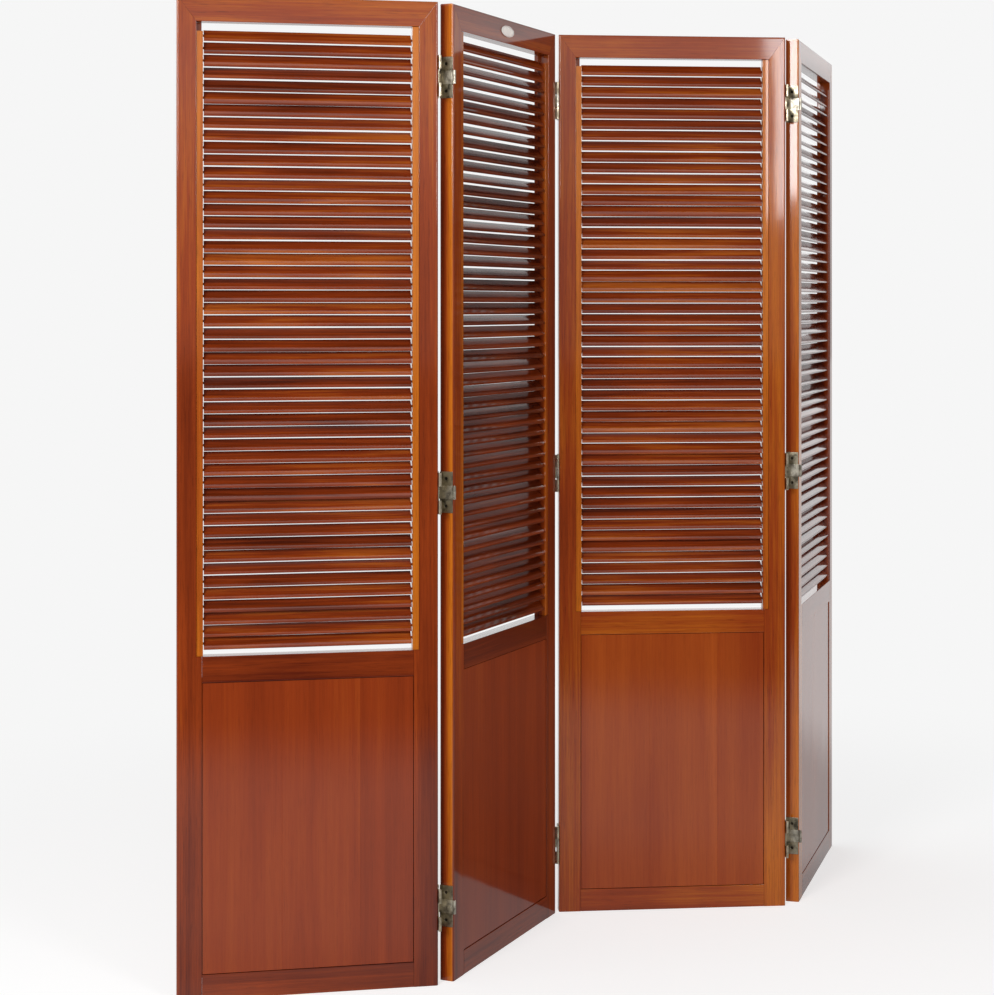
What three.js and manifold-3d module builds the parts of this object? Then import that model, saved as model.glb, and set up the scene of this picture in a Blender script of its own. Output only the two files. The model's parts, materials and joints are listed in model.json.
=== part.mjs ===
// A folding room divider of four louvred wooden panels, standing in a zig-zag.
// Millimetres, +Z up. The front looks towards -Y and the row of panels runs along +X.
// Each panel is drawn in a frame of its own: x across it from its left edge, y from front to
// back with 0 half way through the wood, z up from the floor.
import * as THREE from 'three';
import { mergeVertices } from 'three/addons/utils/BufferGeometryUtils.js';
import Module from 'manifold-3d';

const wasm = await Module();
wasm.setup();

// Driving dimensions ------------------------------------------------------------------------

const PANEL = { width: 472, height: 1800, thick: 28 };
const STILE_WIDTH = 45;
const TOP_RAIL = 47;
const MID_RAIL = 47;
const BOTTOM_RAIL = 45;
const BOARD_HEIGHT = 523;

const SEAT = 0.3; // gap left round a tenon, a strip or a plate that is seated on its neighbour
const JOIN = 2; // how far two shapes of one piece run into each other
const CUT = 5; // how far a cutter runs past the wood
const TENON = { length: 26, thick: 9, inset: 8 };
const MITRE_TENON = { bottom: 6, top: 24, end: 8 }; // above the opening, and from the outer edge

const BOARD = { reveal: 1.1, faceSetBack: 1.5, tongueDepth: 8, tongueThick: 8 };

// Let into the stile from the front, as deep as its rebate.
const STRIP = { width: 12, rebate: 10, setBack: 2, backLip: 8, shortBy: 17 };

const SLAT = { width: 27.5, thick: 6.2, nose: 3.4, endGap: 1.4 };
const SLAT_PITCH = 22.3;
const SLAT_SPACE = { top: 24, bottom: 20 }; // from a rail to the next slat's axis; bottom is the least
const SLAT_PIN = { radius: 2.4, clearance: 0.4, endPlay: 0.8, woodLeft: 2.2 };
const TILT_TOP = 42; // degrees from upright at the top of the bank, front edge lower
const TILT_GAIN = 9; // how much further open the lowest slats are set
const TILT_SPREAD = 5.5; // slats are set by hand, so their tilts differ
const FREE_SLATS = { upper: 0.2, middle: 0.5, lower: 0.8 }; // how far down, as shares of the bank

const HINGE = {
  height: 76, leafThick: 1.7, plateMargin: 1, strapThick: 1.1, strapClearance: 0.5,
  knuckleRadius: 3, knuckleClearance: 0.6, pinRadius: 1.2, pinClearance: 0.5, endGap: 0.4,
  screwHead: 3.3, screwShank: 1.5,
};
const HINGE_INSET = { bottom: 138, top: 136 }; // from the panel's ends to the middle of a hinge
const ROUND = { knuckle: 8, screw: 6, slatPin: 8, fixedPin: 3, badge: 24 }; // sides of round shapes

const BADGE = { width: 58, height: 22, thick: 1.2 };

const FIRST_HEADING = -28; // degrees, panel 1 in plan, measured from +X
const FOLDS = [
  { name: '1_2', turn: 55, side: 1 }, // side 1 folds about the pin behind the back face
  { name: '2_3', turn: -60.5, side: -1 }, // side -1 folds about the pin before the front face
  { name: '3_4', turn: 68, side: 1 },
];

// Dimensions that follow --------------------------------------------------------------------

const HALF = PANEL.thick / 2;
const OPENING = { left: STILE_WIDTH, right: PANEL.width - STILE_WIDTH };
const REVEAL = STILE_WIDTH - STRIP.rebate;
const BOARD_BOTTOM = BOTTOM_RAIL;
const BOARD_TOP = BOARD_BOTTOM + BOARD_HEIGHT;
const LOUVRE_BOTTOM = BOARD_TOP + MID_RAIL;
const LOUVRE_TOP = PANEL.height - TOP_RAIL;
const REBATE_BACK = HALF - STRIP.backLip;
const STRIPS = { left: REVEAL + STRIP.width, right: PANEL.width - REVEAL - STRIP.width };
const SLAT_LENGTH = STRIPS.right - STRIPS.left - 2 * SLAT.endGap;
const SLAT_ROOM = LOUVRE_TOP - LOUVRE_BOTTOM - SLAT_SPACE.top - SLAT_SPACE.bottom;
const SLATS = 1 + Math.floor(SLAT_ROOM / SLAT_PITCH);
const FIRST_SLAT = LOUVRE_TOP - SLAT_SPACE.top;
const PIN_BORE_DEPTH = STRIP.width - SLAT_PIN.woodLeft;
// Between two panels' edges when they stand in line, and from a face out to the hinge pin's axis.
const EDGE_GAP = 2 * (SEAT + HINGE.leafThick) + HINGE.strapThick + HINGE.strapClearance;
const PIN_OFFSET = HINGE.knuckleRadius + HINGE.knuckleClearance;
const HINGE_LEVELS = {
  bottom: HINGE_INSET.bottom, middle: PANEL.height / 2, top: PANEL.height - HINGE_INSET.top,
};

// Materials ---------------------------------------------------------------------------------

const wood = (name, color) => new THREE.MeshStandardMaterial({ name, color, roughness: 0.32 });
const FRAME_WOOD = wood('lacquered_frame', 0x8c3a1c);
const BOARD_WOOD = wood('lacquered_board', 0x7c2f1a);
const SLAT_WOOD = wood('lacquered_slats', 0x6e2a14);
const BRASS = new THREE.MeshStandardMaterial({
  name: 'aged_brass', color: 0x8a7a58, roughness: 0.42, metalness: 0.9,
});
const PLATE = new THREE.MeshStandardMaterial({
  name: 'pale_plate', color: 0xd8d2c4, roughness: 0.35, metalness: 0.8,
});

// Solids ------------------------------------------------------------------------------------

// A closed three.js geometry as a solid that can be joined and cut.
function solid(geometry) {
  geometry.deleteAttribute('normal');
  geometry.deleteAttribute('uv');
  const merged = mergeVertices(geometry, 1e-4);
  return new wasm.Manifold(new wasm.Mesh({
    numProp: 3,
    vertProperties: new Float32Array(merged.attributes.position.array),
    triVerts: new Uint32Array(merged.index.array),
  }));
}

function geometryOf(body) {
  const mesh = body.getMesh();
  const geometry = new THREE.BufferGeometry();
  geometry.setAttribute('position', new THREE.BufferAttribute(mesh.vertProperties, 3));
  geometry.setIndex(new THREE.BufferAttribute(mesh.triVerts, 1));
  geometry.computeVertexNormals();
  return geometry;
}

// A block between two opposite corners.
function block([x0, x1], [y0, y1], [z0, z1]) {
  const geometry = new THREE.BoxGeometry(x1 - x0, y1 - y0, z1 - z0);
  geometry.translate((x0 + x1) / 2, (y0 + y1) / 2, (z0 + z1) / 2);
  return solid(geometry);
}

// An outline in x and z, made solid from y0 to y1.
function plank(outline, [y0, y1]) {
  const shape = new THREE.Shape(outline.map(([x, z]) => new THREE.Vector2(x, z)));
  const geometry = new THREE.ExtrudeGeometry(shape, { depth: y1 - y0, bevelEnabled: false });
  geometry.rotateX(Math.PI / 2);
  geometry.translate(0, y1, 0);
  return solid(geometry);
}

// A round bar along z.
function bar(x, y, [z0, z1], radius) {
  const geometry = new THREE.CylinderGeometry(radius, radius, z1 - z0, ROUND.knuckle);
  geometry.rotateX(Math.PI / 2);
  geometry.translate(x, y, (z0 + z1) / 2);
  return solid(geometry);
}

// A round bar along x half way through the panel, or a cone where the two radii differ.
function crossBar([x0, x1], z, radius, sides, endRadius = radius) {
  const geometry = new THREE.CylinderGeometry(endRadius, radius, x1 - x0, sides);
  geometry.rotateZ(-Math.PI / 2);
  geometry.translate((x0 + x1) / 2, 0, z);
  return solid(geometry);
}

function mesh(name, body, material) {
  const part = new THREE.Mesh(geometryOf(body), material);
  part.name = name;
  return part;
}

// Slats -------------------------------------------------------------------------------------

// Slats are numbered from 1 at the top.
const slatLevel = (number) => FIRST_SLAT - (number - 1) * SLAT_PITCH;
const freeNumber = (share) => Math.round(share * SLATS);

// How far the slat leans from upright, in degrees: its front edge is the lower one.
function slatTilt(panel, number) {
  const down = (number - 1) / (SLATS - 1);
  const byHand = Math.sin(number * 2.4 + panel * 1.9) * Math.cos(number * 0.83 + panel);
  return TILT_TOP + TILT_GAIN * down + TILT_SPREAD * byHand;
}

// A slat's flat hexagonal section runs along its tilted width, so both edges are pointed noses.
function slat(panel, number) {
  const lean = THREE.MathUtils.degToRad(slatTilt(panel, number));
  const half = SLAT.width / 2;
  const shoulder = half - SLAT.nose;
  const thick = SLAT.thick / 2;
  const section = [
    [half, 0], [shoulder, thick], [-shoulder, thick],
    [-half, 0], [-shoulder, -thick], [shoulder, -thick],
  ];
  const shape = new THREE.Shape(section.map(([along, across]) => new THREE.Vector2(
    along * Math.cos(lean) + across * Math.sin(lean),
    -along * Math.sin(lean) + across * Math.cos(lean),
  )));
  const geometry = new THREE.ExtrudeGeometry(shape, { depth: SLAT_LENGTH, bevelEnabled: false });
  // The shape's x becomes minus z and its y becomes y, so the section stands in the y-z plane.
  geometry.rotateY(Math.PI / 2);
  geometry.translate(STRIPS.left + SLAT.endGap, 0, slatLevel(number));
  return solid(geometry);
}

// The two pins of a slat, reaching the given length past its ends.
function slatPins(number, reach, sides) {
  const z = slatLevel(number);
  const start = STRIPS.left + SLAT.endGap;
  const end = STRIPS.right - SLAT.endGap;
  const left = crossBar([start - reach, start + JOIN], z, SLAT_PIN.radius, sides);
  const right = crossBar([end - JOIN, end + reach], z, SLAT_PIN.radius, sides);
  return left.add(right);
}

// A strip of wood bored for the slats' pins, let into the front of a stile.
function pivotStrip(side, short) {
  const [from, to] = side === 'left'
    ? [REVEAL + SEAT, STRIPS.left]
    : [STRIPS.right, PANEL.width - REVEAL - SEAT];
  const top = LOUVRE_TOP - (short ? STRIP.shortBy : SEAT);
  return block([from, to], [-HALF + STRIP.setBack, REBATE_BACK - SEAT], [LOUVRE_BOTTOM + SEAT, top]);
}

// The pivot strips with the slats that stay as they are set, on their pins: one openwork piece.
function louvreBank(panel, shortSide) {
  let bank = pivotStrip('left', shortSide === 'left').add(pivotStrip('right', shortSide === 'right'));
  const free = Object.values(FREE_SLATS).map(freeNumber);
  for (let number = 1; number <= SLATS; number += 1) {
    if (free.includes(number)) {
      const bore = SLAT_PIN.radius + SLAT_PIN.clearance;
      const z = slatLevel(number);
      const [left, right] = [STRIPS.left - PIN_BORE_DEPTH, STRIPS.right + PIN_BORE_DEPTH];
      bank = bank
        .subtract(crossBar([left, STRIPS.left + CUT], z, bore, ROUND.slatPin))
        .subtract(crossBar([STRIPS.right - CUT, right], z, bore, ROUND.slatPin));
    } else {
      const reach = SLAT.endGap + JOIN;
      bank = bank.add(slat(panel, number)).add(slatPins(number, reach, ROUND.fixedPin));
    }
  }
  return bank;
}

function freeSlat(panel, number) {
  const reach = SLAT.endGap + PIN_BORE_DEPTH - SLAT_PIN.endPlay;
  return slat(panel, number).add(slatPins(number, reach, ROUND.slatPin));
}

// Frame -------------------------------------------------------------------------------------

// A piece's outline on the left of the panel, turned into the one on the right.
const mirrored = (outline) => outline.map(([x, z]) => [PANEL.width - x, z]).reverse();

function tenonLevels(bottom, top) {
  return [bottom + TENON.inset, top - TENON.inset];
}

// A rail's tenons, or the mortises for them when a clearance is given.
function tenons(bottom, top, clearance = 0) {
  const y = [-TENON.thick / 2 - clearance, TENON.thick / 2 + clearance];
  const [z0, z1] = tenonLevels(bottom, top);
  const z = [z0 - clearance, z1 + clearance];
  const end = STILE_WIDTH - TENON.length - clearance;
  const left = block([end, OPENING.left + JOIN], y, z);
  const right = block([OPENING.right - JOIN, PANEL.width - end], y, z);
  return left.add(right);
}

// The top rail's tenons start lower down, where the mitre leaves them enough wood.
function mitreTenons(clearance = 0) {
  const y = [-TENON.thick / 2 - clearance, TENON.thick / 2 + clearance];
  const z = [LOUVRE_TOP + MITRE_TENON.bottom - clearance, LOUVRE_TOP + MITRE_TENON.top + clearance];
  const end = MITRE_TENON.end - clearance;
  const left = block([end, REVEAL + CUT], y, z);
  const right = block([PANEL.width - REVEAL - CUT, PANEL.width - end], y, z);
  return left.add(right);
}

// The tongue round the board, or the groove for it when a clearance is given.
function tongue(clearance = 0) {
  const out = BOARD.tongueDepth + clearance;
  const y = BOARD.tongueThick / 2 + clearance;
  return block([OPENING.left - out, OPENING.right + out], [-y, y], [BOARD_BOTTOM - out, BOARD_TOP + out]);
}

function stile(side) {
  const outline = [
    [0, 0], [STILE_WIDTH, 0], [STILE_WIDTH, LOUVRE_TOP], [REVEAL, LOUVRE_TOP], [0, PANEL.height],
  ];
  const rebate = [
    [REVEAL, LOUVRE_BOTTOM], [STILE_WIDTH + CUT, LOUVRE_BOTTOM],
    [STILE_WIDTH + CUT, LOUVRE_TOP + CUT], [REVEAL, LOUVRE_TOP + CUT],
  ];
  const place = side === 'left' ? (points) => points : mirrored;
  return plank(place(outline), [-HALF, HALF])
    .subtract(plank(place(rebate), [-HALF - CUT, REBATE_BACK]))
    .subtract(tenons(0, BOTTOM_RAIL, SEAT))
    .subtract(tenons(BOARD_TOP, LOUVRE_BOTTOM, SEAT))
    .subtract(mitreTenons(SEAT))
    .subtract(tongue(SEAT));
}

function topRail() {
  const outline = [
    [REVEAL + SEAT, LOUVRE_TOP + SEAT], [PANEL.width - REVEAL - SEAT, LOUVRE_TOP + SEAT],
    [PANEL.width - 2 * SEAT, PANEL.height], [2 * SEAT, PANEL.height],
  ];
  return plank(outline, [-HALF, HALF]).add(mitreTenons());
}

function rail(bottom, top) {
  const body = block([OPENING.left + SEAT, OPENING.right - SEAT], [-HALF, HALF], [bottom, top]);
  return body.add(tenons(bottom, top)).subtract(tongue(SEAT));
}

function board() {
  const field = block(
    [OPENING.left + BOARD.reveal, OPENING.right - BOARD.reveal],
    [-HALF + BOARD.faceSetBack, HALF - BOARD.faceSetBack],
    [BOARD_BOTTOM + BOARD.reveal, BOARD_TOP - BOARD.reveal],
  );
  return field.add(tongue());
}

// Hinges ------------------------------------------------------------------------------------

// Hinges are drawn about the middle of the gap between two panels that stand in line, with z
// from the hinge's own middle. side is 1 where the pin is behind the panels, -1 where before.
const THIRD = HINGE.height / 6; // half the length of the middle knuckle
const OUTER_THIRDS = [
  [-HINGE.height / 2, -THIRD - HINGE.endGap / 2],
  [THIRD + HINGE.endGap / 2, HINGE.height / 2],
];
const MIDDLE_THIRD = [-THIRD + HINGE.endGap / 2, THIRD - HINGE.endGap / 2];
const SCREW_LEVELS = [-2 * THIRD, 2 * THIRD];
const PLATE_HALF = HALF - HINGE.plateMargin;
const PIN_Y = HALF + PIN_OFFSET;
const LEAF_OUT = EDGE_GAP / 2 - SEAT; // the leaf's face against the panel's edge
const LEAF_IN = LEAF_OUT - HINGE.leafThick; // its other face, in the gap

// A leaf's plate on one panel's edge, with a countersunk hole in its upper and lower thirds.
// hand is -1 for the left panel and 1 for the right one.
function leafPlate(hand) {
  const x = [hand * LEAF_OUT, hand * LEAF_IN].sort((a, b) => a - b);
  let plate = block(x, [-PLATE_HALF, PLATE_HALF], [-HINGE.height / 2, HINGE.height / 2]);
  const wideEndLast = hand < 0;
  const [near, far] = wideEndLast
    ? [HINGE.screwShank, HINGE.screwHead]
    : [HINGE.screwHead, HINGE.screwShank];
  for (const z of SCREW_LEVELS) {
    plate = plate.subtract(crossBar(x, z, near, ROUND.screw, far));
  }
  return plate;
}

// A knuckle with the tab that ties it to its leaf's plate.
function knuckle(hand, side, z) {
  const x = [hand * LEAF_OUT, hand * LEAF_IN].sort((a, b) => a - b);
  const y = [side * (PLATE_HALF - JOIN), side * PIN_Y].sort((a, b) => a - b);
  return bar(0, side * PIN_Y, z, HINGE.knuckleRadius).add(block(x, y, z));
}

// The leaf on the left panel: knuckles in its outer thirds, and the pin fixed in them.
function pinLeaf(side) {
  let leaf = leafPlate(-1);
  for (const z of OUTER_THIRDS) {
    leaf = leaf.add(knuckle(-1, side, z)).add(knuckle(-1, -side, z));
  }
  return leaf.add(bar(0, side * PIN_Y, [-THIRD - JOIN, THIRD + JOIN], HINGE.pinRadius));
}

// The leaf on the right panel: a raised strap across its middle third, with a knuckle at each
// end of the strap. The one on the fold's side turns on the pin.
function strapLeaf(side) {
  const depth = [LEAF_IN - HINGE.strapThick, LEAF_OUT];
  const strap = block(depth, [-PLATE_HALF, PLATE_HALF], MIDDLE_THIRD);
  const boreRadius = HINGE.pinRadius + HINGE.pinClearance;
  const bore = bar(0, side * PIN_Y, [-THIRD - CUT, THIRD + CUT], boreRadius);
  return leafPlate(1)
    .add(strap)
    .add(knuckle(1, side, MIDDLE_THIRD))
    .add(knuckle(1, -side, MIDDLE_THIRD))
    .subtract(bore);
}

// A bare oval plate on the face of a top rail.
function badge() {
  const geometry = new THREE.CylinderGeometry(1, 1, BADGE.thick, ROUND.badge);
  geometry.scale(BADGE.width / 2, 1, BADGE.height / 2);
  geometry.translate(PANEL.width / 2, -HALF - SEAT - BADGE.thick / 2, PANEL.height - TOP_RAIL / 2);
  return solid(geometry);
}

// Assembly ----------------------------------------------------------------------------------

function panel(number) {
  const shortSide = number % 2 === 1 ? 'left' : 'right';
  const prefix = `panel_${number}`;
  const group = new THREE.Group();
  group.add(
    mesh(`${prefix}_stile_left`, stile('left'), FRAME_WOOD),
    mesh(`${prefix}_stile_right`, stile('right'), FRAME_WOOD),
    mesh(`${prefix}_top_rail`, topRail(), FRAME_WOOD),
    mesh(`${prefix}_mid_rail`, rail(BOARD_TOP, LOUVRE_BOTTOM), FRAME_WOOD),
    mesh(`${prefix}_bottom_rail`, rail(0, BOTTOM_RAIL), FRAME_WOOD),
    mesh(`${prefix}_board`, board(), BOARD_WOOD),
    mesh(`${prefix}_louvre_bank`, louvreBank(number, shortSide), SLAT_WOOD),
  );
  for (const [place, share] of Object.entries(FREE_SLATS)) {
    const body = freeSlat(number, freeNumber(share));
    group.add(mesh(`${prefix}_slat_${place}`, body, SLAT_WOOD));
  }
  return group;
}

// Hangs the next panel on the right edge of the last one, with the hinges of that fold.
function fold(previous, next, { name, turn, side }) {
  const gapMiddle = PANEL.width + EDGE_GAP / 2;
  const pin = new THREE.Group();
  pin.position.set(gapMiddle, side * PIN_Y, 0);
  pin.rotation.z = THREE.MathUtils.degToRad(turn);
  next.position.set(EDGE_GAP / 2, -side * PIN_Y, 0);
  pin.add(next);
  previous.add(pin);
  for (const [level, height] of Object.entries(HINGE_LEVELS)) {
    const fixed = mesh(`hinge_${name}_${level}_pin_leaf`, pinLeaf(side), BRASS);
    fixed.position.set(gapMiddle, 0, height);
    previous.add(fixed);
    const turning = mesh(`hinge_${name}_${level}_strap_leaf`, strapLeaf(side), BRASS);
    turning.position.set(-EDGE_GAP / 2, 0, height);
    next.add(turning);
  }
}

const panels = [1, 2, 3, 4].map(panel);
panels[1].add(mesh('badge_plate', badge(), PLATE));
FOLDS.forEach((line, index) => fold(panels[index], panels[index + 1], line));
panels[0].rotation.z = THREE.MathUtils.degToRad(FIRST_HEADING);

// The origin is on the floor under the middle of the screen.
const screen = new THREE.Group();
screen.add(panels[0]);
screen.updateMatrixWorld(true);
const middle = new THREE.Box3().setFromObject(screen, true).getCenter(new THREE.Vector3());
screen.position.set(-middle.x, -middle.y, 0);
screen.updateMatrixWorld(true);

export default screen;
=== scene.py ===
# %% [markdown]
# # A folding louvre screen in lacquered wood
# Four hinged panels stand in a zig-zag. Each has fifty slats above a solid board. The packed
# model holds the true sizes, so every visible piece here is built round it: the same stiles,
# rails, slats and hinges, with the rounded arrises, grain, lacquer and screws that a plain
# solid leaves out. Lengths are in metres.

# %% Load the frame
import json
import math
import random

import bmesh
import bpy
from mathutils import Matrix, Vector


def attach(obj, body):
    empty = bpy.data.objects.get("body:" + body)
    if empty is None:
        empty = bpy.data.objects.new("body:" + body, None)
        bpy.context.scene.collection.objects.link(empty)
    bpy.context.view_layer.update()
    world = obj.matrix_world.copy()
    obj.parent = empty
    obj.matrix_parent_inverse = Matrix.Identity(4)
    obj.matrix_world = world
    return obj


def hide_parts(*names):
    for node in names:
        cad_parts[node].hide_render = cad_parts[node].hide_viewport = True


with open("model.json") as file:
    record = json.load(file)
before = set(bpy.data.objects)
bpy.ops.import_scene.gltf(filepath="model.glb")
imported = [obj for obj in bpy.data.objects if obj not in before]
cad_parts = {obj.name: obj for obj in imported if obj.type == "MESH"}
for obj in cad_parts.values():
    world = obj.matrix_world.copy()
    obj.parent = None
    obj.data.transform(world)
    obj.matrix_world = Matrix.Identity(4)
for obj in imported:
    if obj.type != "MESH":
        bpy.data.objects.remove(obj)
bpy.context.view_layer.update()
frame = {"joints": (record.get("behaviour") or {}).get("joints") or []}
MM = 0.001
NEAR = 1e-6  # points closer than this, in metres, count as touching
STRAIGHT = 0.99  # directions count as the same when their cosine is above this

# %% [markdown]
# ## Where each panel stands
# A joiner works on one panel at a time, flat on the bench. So do we: x runs across the panel
# from its left edge, y from front to back with 0 half way through the wood, z up from the floor.
# The middle slat's joint lies along the panel, so it tells where that bench frame stands.

# %% Bench frames of the panels
PANEL_WIDTH = 472 * MM
PANEL_HEIGHT = 1800 * MM
HALF_THICK = 14 * MM
JOINTS = {joint["name"]: joint for joint in frame["joints"]}


def bench_frame(number):
    """The matrix that carries panel `number` from the bench to its place in the row."""
    joint = JOINTS[f"turn_panel_{number}_slat_middle"]
    across = -Vector(joint["axis"])
    heading = math.atan2(across.y, across.x)
    middle = Vector(joint["pos_m"])
    foot = middle - across * (PANEL_WIDTH / 2)
    foot.z = 0.0
    return Matrix.Translation(foot) @ Matrix.Rotation(heading, 4, "Z")


NUMBERS = (1, 2, 3, 4)
BENCH = {number: bench_frame(number) for number in NUMBERS}
for number in NUMBERS:
    heading = math.degrees(BENCH[number].to_euler().z)
    print(f"panel {number}: heading {heading:.1f} degrees")

# %% [markdown]
# ## Helpers for timber
# Each piece of timber is a block, cut and rounded with mesh operators. Two marks go into every
# point: `grain` says how the point lies in the tree, with x along the fibres, and `tone` how
# light this particular piece is. They follow the piece, so the grain of a mitred corner turns
# with the joint, which one pattern in space couldn't do.

# %% Timber helpers
def new_timber():
    """An empty bmesh that can carry the grain marks."""
    bm = bmesh.new()
    bm.verts.layers.float_vector.new("grain")
    bm.verts.layers.float.new("tone")
    return bm


def add_block(bm, low, high):
    """Adds a block between two corners and returns its points."""
    low, high = Vector(low), Vector(high)
    points = bmesh.ops.create_cube(bm, size=1.0)["verts"]
    bmesh.ops.scale(bm, vec=high - low, verts=points)
    bmesh.ops.translate(bm, vec=(low + high) / 2, verts=points)
    return points


def edges_where(points, test):
    """Edges between the given points whose middle and direction pass the test."""
    known = set(points)
    found = []
    for edge in {edge for point in points for edge in point.link_edges}:
        start, end = edge.verts
        if start in known and end in known:
            middle = (start.co + end.co) / 2
            along = (end.co - start.co).normalized()
            if test(middle, along):
                found.append(edge)
    return found


def round_over(bm, edges, radius, steps=3):
    """Rounds the given edges."""
    bmesh.ops.bevel(
        bm, geom=edges, offset=radius, offset_type="OFFSET", segments=steps,
        profile=0.5, affect="EDGES", material=-1,
    )


def mark_grain(bm, along, start, tone, far_tone=None):
    """Marks how the timber lies: `along` is the axis of its fibres, `start` where it was sawn.

    The tone may change from one end of the piece to the other; on the stiles this change is mostly
    a painted sheen, lighter towards the top.
    """
    grain = bm.verts.layers.float_vector["grain"]
    shade = bm.verts.layers.float["tone"]
    order = {"x": (0, 1, 2), "z": (2, 0, 1)}[along]
    ends = [point.co[order[0]] for point in bm.verts]
    near, length = min(ends), max(ends) - min(ends)
    change = 0.0 if far_tone is None else far_tone - tone
    for point in bm.verts:
        lying = Vector([point.co[axis] for axis in order])
        point[grain] = lying + start
        point[shade] = tone + change * (lying.x - near) / length


def sawn_from(draw):
    """A place in an imaginary log, so that no two pieces show the same figure."""
    return Vector((draw.uniform(0, 40), draw.uniform(0, 9), draw.uniform(0, 9)))


def glue(parts):
    """Joins several bench meshes into one, keeping their marks."""
    whole = new_timber()
    for part in parts:
        mesh = bpy.data.meshes.new("part")
        part.to_mesh(mesh)
        part.free()
        whole.from_mesh(mesh)
        bpy.data.meshes.remove(mesh)
    return whole


def block(low, high):
    """A single block of timber on the bench."""
    bm = new_timber()
    add_block(bm, low, high)
    return bm


# %% Turning a mesh into a piece of the screen
def finish_piece(bm, name, place, material, body, nodes=()):
    """Puts a bench mesh in its place and says what it is to the frame."""
    bmesh.ops.transform(bm, matrix=place, verts=bm.verts)
    bmesh.ops.recalc_face_normals(bm, faces=bm.faces)
    mesh = bpy.data.meshes.new(name)
    bm.to_mesh(mesh)
    bm.free()
    mesh.materials.append(material)
    mesh.polygons.foreach_set("use_smooth", [True] * len(mesh.polygons))
    mesh.set_sharp_from_angle(angle=math.radians(40))
    piece = bpy.data.objects.new(name, mesh)
    bpy.context.scene.collection.objects.link(piece)
    flat = piece.modifiers.new("flat faces stay flat", "WEIGHTED_NORMAL")
    flat.keep_sharp = True
    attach(piece, body)
    if nodes:
        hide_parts(*nodes)
    return piece


# %% [markdown]
# ## The lacquered wood
# The real finish is a red-brown stain under a clear, glossy lacquer. The stain gathers in the
# pores and in the soft early wood, so the grain reads as dark lines in a warm ground, and every
# board takes it a little differently. The lacquer is a coat over it: sharp, slightly wavy
# reflections, strongest where a panel is seen almost edge on.

# %% Shader helpers
def blank_material(name):
    """A material with nothing in it but a Principled shader and its output."""
    material = bpy.data.materials.new(name)
    material.use_nodes = True
    tree = material.node_tree
    tree.nodes.clear()
    shader = tree.nodes.new("ShaderNodeBsdfPrincipled")
    output = tree.nodes.new("ShaderNodeOutputMaterial")
    tree.links.new(shader.outputs["BSDF"], output.inputs["Surface"])
    return material, tree, shader


def stretched_noise(tree, vector, stretch, scale, detail=4.0, roughness=0.5, distortion=0.0):
    """Noise drawn out by `stretch` before it is sampled."""
    mapping = tree.nodes.new("ShaderNodeMapping")
    mapping.inputs["Scale"].default_value = stretch
    noise = tree.nodes.new("ShaderNodeTexNoise")
    noise.inputs["Scale"].default_value = scale
    noise.inputs["Detail"].default_value = detail
    noise.inputs["Roughness"].default_value = roughness
    noise.inputs["Distortion"].default_value = distortion
    tree.links.new(vector, mapping.inputs["Vector"])
    tree.links.new(mapping.outputs["Vector"], noise.inputs["Vector"])
    return noise.outputs["Fac"]


def calculate(tree, operation, first, second):
    """A Math node; each input is a socket or a number."""
    node = tree.nodes.new("ShaderNodeMath")
    node.operation = operation
    for socket, value in zip(node.inputs, (first, second)):
        if isinstance(value, (int, float)):
            socket.default_value = value
        else:
            tree.links.new(value, socket)
    return node.outputs["Value"]


def choose(tree, share, without, having):
    """`without` where share is 0 and `having` where it is 1; each is a socket or a number."""
    node = tree.nodes.new("ShaderNodeMix")
    tree.links.new(share, node.inputs["Factor"])
    for socket, value in ((node.inputs["A"], without), (node.inputs["B"], having)):
        if isinstance(value, (int, float)):
            socket.default_value = value
        else:
            tree.links.new(value, socket)
    return node.outputs["Result"]


def colour_ramp(tree, factor, stops):
    """A colour ramp through (position, colour) stops."""
    ramp = tree.nodes.new("ShaderNodeValToRGB")
    elements = ramp.color_ramp.elements
    while len(elements) < len(stops):
        elements.new(0.5)
    for element, (position, colour) in zip(elements, stops):
        element.position = position
        element.color = (*colour, 1.0)
    tree.links.new(factor, ramp.inputs["Fac"])
    return ramp.outputs["Color"]


def map_range(tree, value, low, high, to_low=0.0, to_high=1.0, smooth=True):
    """Carries `value` from one range to another and holds it at the ends."""
    node = tree.nodes.new("ShaderNodeMapRange")
    node.interpolation_type = "SMOOTHSTEP" if smooth else "LINEAR"
    limits = {"From Min": low, "From Max": high, "To Min": to_low, "To Max": to_high}
    for name, limit in limits.items():
        node.inputs[name].default_value = limit
    tree.links.new(value, node.inputs["Value"])
    return node.outputs["Result"]


def emboss(tree, shader, height, strength, distance, sockets=("Normal",)):
    """Bends a shader's light by `height`, without moving the surface."""
    bump = tree.nodes.new("ShaderNodeBump")
    bump.inputs["Strength"].default_value = strength
    bump.inputs["Distance"].default_value = distance
    tree.links.new(height, bump.inputs["Height"])
    for name in sockets:
        tree.links.new(bump.outputs["Normal"], shader.inputs[name])


def attribute(tree, name, output):
    """A mark that the mesh carries."""
    node = tree.nodes.new("ShaderNodeAttribute")
    node.attribute_name = name
    return node.outputs[output]


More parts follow.
